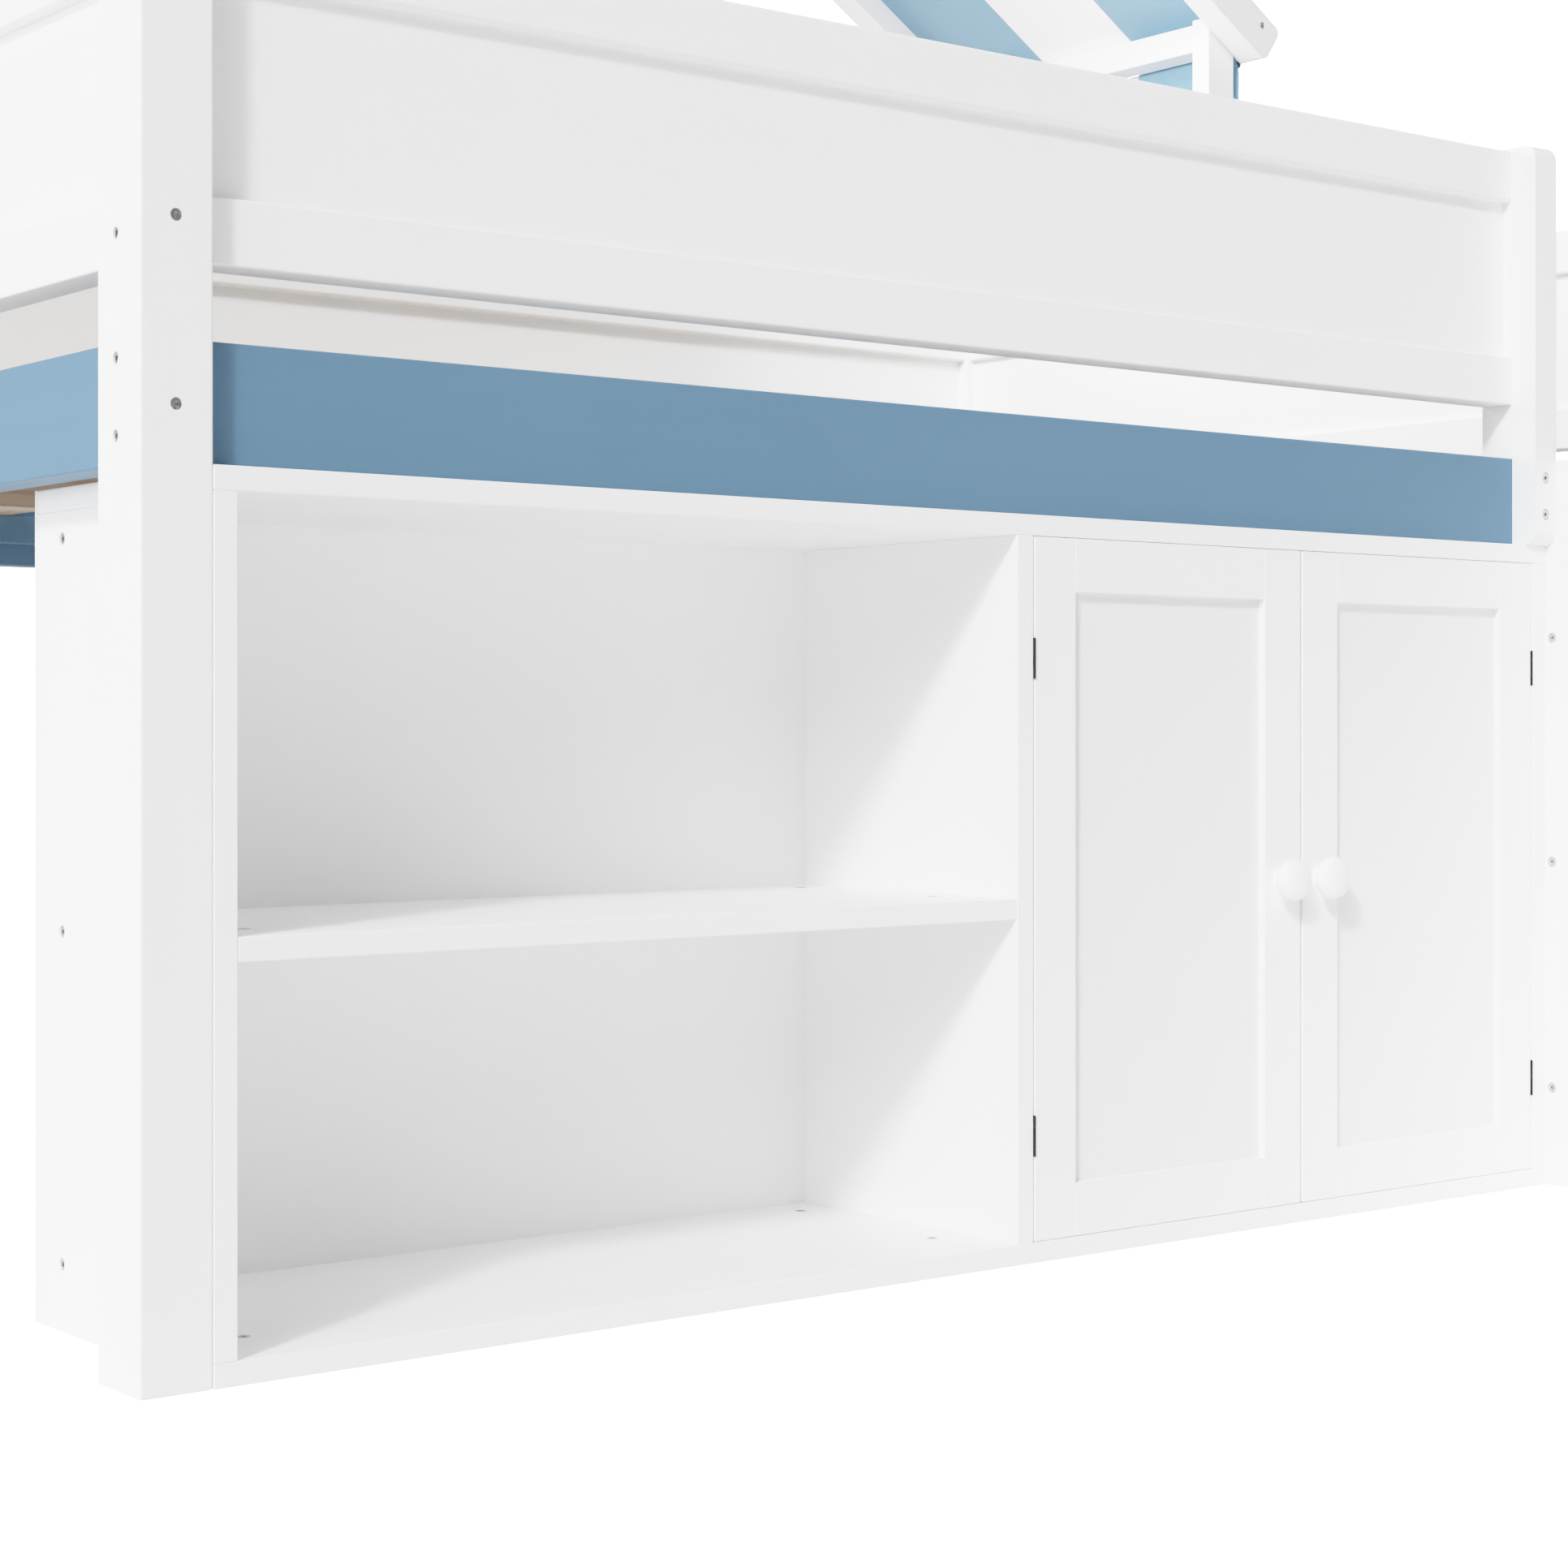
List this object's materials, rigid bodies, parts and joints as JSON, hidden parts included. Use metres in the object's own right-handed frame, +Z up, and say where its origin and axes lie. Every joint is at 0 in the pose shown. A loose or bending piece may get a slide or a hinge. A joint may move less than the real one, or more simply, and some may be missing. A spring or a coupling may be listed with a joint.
{
  "type": "loft bed",
  "caption": "Low loft bed with guard panels on every side, a shelf and cupboard cabinet underneath, box stairs at one corner and a striped awning with a curtain.",
  "frame": {"origin": "centre of the bounding box on the floor", "axes": "+Z up, +X along the bed towards the stair end, +Y from the cabinet front to the far side"},
  "size_m": [2.095, 2.3986, 1.8444],
  "materials": {
    "white_paint": "satin white paint on wood",
    "blue_paint": "satin blue paint on wood",
    "natural_wood": "planed softwood",
    "fixing_steel": "plated steel",
    "hinge_metal": "dark metal",
    "catch_plastic": "brown plastic",
    "curtain_fabric": "plain woven cloth"
  },
  "bodies": {
    "bed": {"awning_back_post": "white_paint", "awning_board_far": "blue_paint", "awning_board_middle": "white_paint", "awning_board_near": "blue_paint", "awning_eave_beam": "white_paint", "awning_far_post": "white_paint", "awning_far_rafter": "white_paint", "awning_near_post": "white_paint", "awning_near_rafter": "white_paint", "awning_ridge_beam": "white_paint", "back_guard_panel": "white_paint", "back_guard_rails": "white_paint", "back_left_post": "white_paint", "back_right_post": "white_paint", "back_side_rail": "blue_paint", "bed_slats": "natural_wood", "cabinet_back": "white_paint", "cabinet_bottom": "white_paint", "cabinet_divider": "white_paint", "cabinet_left_side": "white_paint", "cabinet_right_side": "white_paint", "cabinet_shelf": "white_paint", "cabinet_top": "white_paint", "cam_locks": "fixing_steel", "centre_beam": "natural_wood", "centre_leg": "white_paint", "curtain": "curtain_fabric", "curtain_rod": "white_paint", "front_guard_panel": "white_paint", "front_guard_rails": "white_paint", "front_left_post": "white_paint", "front_right_post": "white_paint", "front_side_rail": "blue_paint", "hinge_fixed_leaves": "hinge_metal", "joint_bolts": "fixing_steel", "left_end_rail": "blue_paint", "left_guard_panel": "white_paint", "left_guard_rails": "white_paint", "magnetic_catches": "catch_plastic", "right_end_rail": "blue_paint", "right_guard_panel": "white_paint", "right_guard_rails": "white_paint", "slat_cleats": "blue_paint", "stair_back_board": "white_paint", "stair_left_side": "white_paint", "stair_opening_post": "white_paint", "stair_right_side": "white_paint", "stair_risers": "white_paint", "stair_treads": "white_paint"},
    "left_door": {"left_door_frame": "white_paint", "left_door_panel": "white_paint", "left_door_knob": "white_paint", "left_door_hinge_leaves": "hinge_metal", "left_door_strike": "fixing_steel"},
    "right_door": {"right_door_frame": "white_paint", "right_door_panel": "white_paint", "right_door_knob": "white_paint", "right_door_hinge_leaves": "hinge_metal", "right_door_strike": "fixing_steel"}
  },
  "joints": [
    {"name": "left_door_hinge", "type": "hinge", "parent": "bed", "child": "left_door", "pos_m": [-0.19671, -0.38035, 0.3315], "axis": [0, 0, -1], "range_deg": [0, 110]},
    {"name": "right_door_hinge", "type": "hinge", "parent": "bed", "child": "right_door", "pos_m": [0.49759, -0.38035, 0.3315], "axis": [0, 0, 1], "range_deg": [0, 85]}
  ]
}
